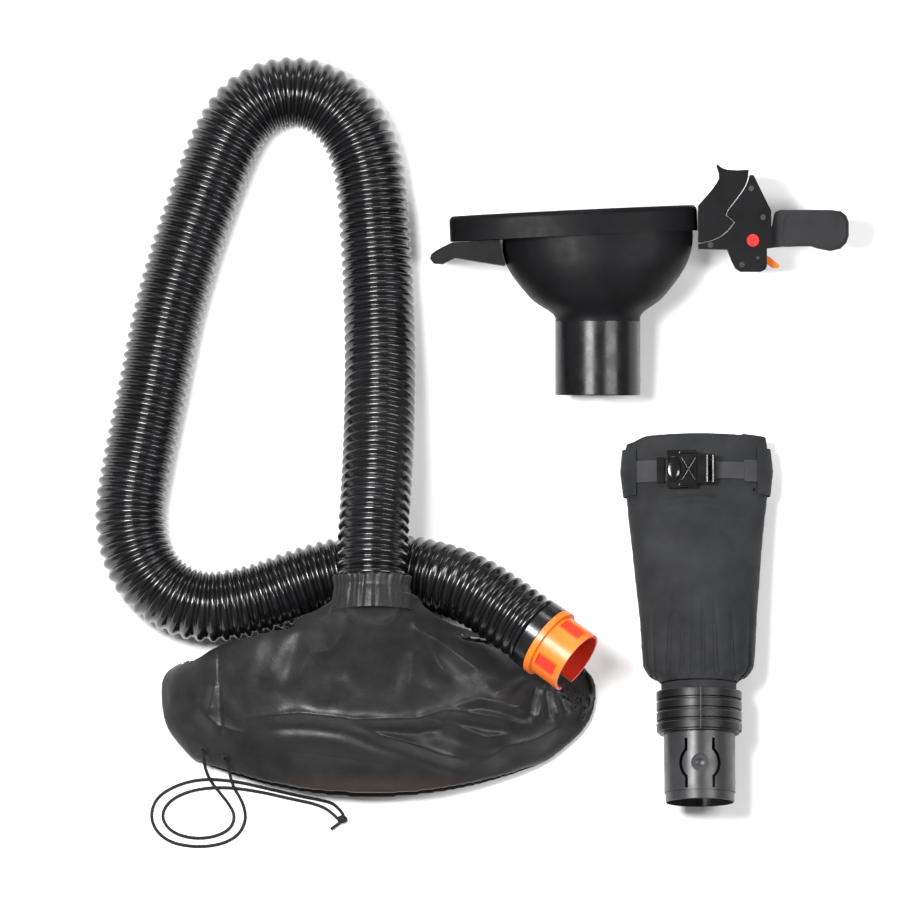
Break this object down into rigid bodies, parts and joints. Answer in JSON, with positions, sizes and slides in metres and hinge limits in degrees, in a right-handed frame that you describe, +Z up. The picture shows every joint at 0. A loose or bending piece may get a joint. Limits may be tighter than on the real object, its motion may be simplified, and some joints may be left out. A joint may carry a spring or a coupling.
{
  "type": "leaf vacuum mulcher collection kit",
  "caption": "Fabric bin cover with corrugated hose and swivel connector, oval funnel adapter with lever latch, and fabric sleeve adapter with buckle strap and spigot.",
  "frame": {"origin": "on the surface that the kit lies on, under the middle of the bin cover's flat underside", "axes": "+Z up from the surface, +Y from the cover's mouth towards its collar and hose, +X from the cover towards the two adapters"},
  "size_m": [1.205, 1.2697, 0.2392],
  "materials": {
    "hose_plastic": "gloss corrugated polyethylene",
    "black_plastic": "satin moulded",
    "cover_nylon": "smooth coated nylon with a slight sheen",
    "eyelet_metal": "black enamelled",
    "cord_nylon": "braided cord",
    "orange_plastic": "moulded, slightly glossy",
    "red_plastic": "moulded, slightly glossy",
    "rubber": "soft seal",
    "funnel_plastic": "satin moulded",
    "spout_plastic": "smooth extruded tube",
    "textured_plastic": "fine spark-eroded texture",
    "lever_plastic": "satin moulded grip",
    "steel": "plain",
    "sleeve_woven": "plain woven polyester",
    "webbing": "ribbed flat webbing",
    "buckle_plastic": "polished acetal",
    "collar_plastic": "satin moulded",
    "spigot_plastic": "satin moulded, dark grey"
  },
  "bodies": {
    "cover_and_hose": {"hose": "hose_plastic", "collar_ring": "black_plastic", "collar_band": "cover_nylon", "hose_cuff": "hose_plastic", "cover_crown": "cover_nylon", "cover_skirt": "cover_nylon", "cover_hem": "cover_nylon", "cord_eyelets": "eyelet_metal", "drawstring_a": "cord_nylon", "drawstring_b": "cord_nylon", "drawstring_knot": "cord_nylon"},
    "swivel_connector": {"connector": "orange_plastic", "connector_seal": "rubber"},
    "funnel": {"funnel_bowl": "funnel_plastic", "funnel_rim": "funnel_plastic", "front_hook": "funnel_plastic", "spout_tube": "spout_plastic", "clamp_horn": "funnel_plastic", "latch_housing_front": "textured_plastic", "latch_housing_rear": "textured_plastic", "latch_core": "textured_plastic", "latch_pin": "red_plastic", "trigger_pin": "steel", "housing_screws": "steel", "trigger_spring": "steel"},
    "lever": {"latch_lever": "lever_plastic", "lever_pad_front": "lever_plastic", "lever_pad_rear": "lever_plastic"},
    "trigger": {"release_trigger": "orange_plastic"},
    "sleeve": {"sleeve_fabric": "sleeve_woven", "sleeve_hem": "sleeve_woven", "neck_band": "sleeve_woven", "strap_webbing": "webbing", "strap_end": "webbing", "strap_keeper": "buckle_plastic", "belt_loop_left": "webbing", "belt_loop_right": "webbing", "buckle_female": "buckle_plastic", "ribbed_collar": "collar_plastic", "spigot": "spigot_plastic", "button_cage": "spigot_plastic", "snap_spring": "steel"},
    "button": {"snap_button": "spigot_plastic"},
    "buckle": {"buckle_male": "buckle_plastic"}
  },
  "joints": [
    {"name": "connector_swivel", "type": "hinge", "parent": "cover_and_hose", "child": "swivel_connector", "pos_m": [0.2656, 0.0795, 0.128], "axis": [0.7708, -0.6022, 0.2079], "continuous": true},
    {"name": "funnel_lift", "type": "slide", "parent": "cover_and_hose", "child": "funnel", "axis": [0, 0, 1], "range_m": [0, 0.3]},
    {"name": "lever_swing", "type": "hinge", "parent": "funnel", "child": "lever", "pos_m": [0.5957, 0.72762, 0.10082], "axis": [0, -0.1355, 0.9908], "range_deg": [0, 20]},
    {"name": "trigger_press", "type": "hinge", "parent": "funnel", "child": "trigger", "pos_m": [0.6035, 0.69998, 0.09704], "axis": [0, -0.1355, 0.9908], "range_deg": [0, 10], "stiffness_Nm_per_rad": 0.4},
    {"name": "sleeve_lift", "type": "slide", "parent": "cover_and_hose", "child": "sleeve", "axis": [0, 0, 1], "range_m": [0, 0.3]},
    {"name": "button_press", "type": "slide", "parent": "sleeve", "child": "button", "axis": [0, 0, -1], "range_m": [0, 0.004], "stiffness_N_per_m": 600, "springref_m": -0.001, "deforming": ["snap_spring"]},
    {"name": "buckle_release", "type": "slide", "parent": "sleeve", "child": "buckle", "axis": [1, 0.0084, 0], "range_m": [0, 0.026]}
  ]
}
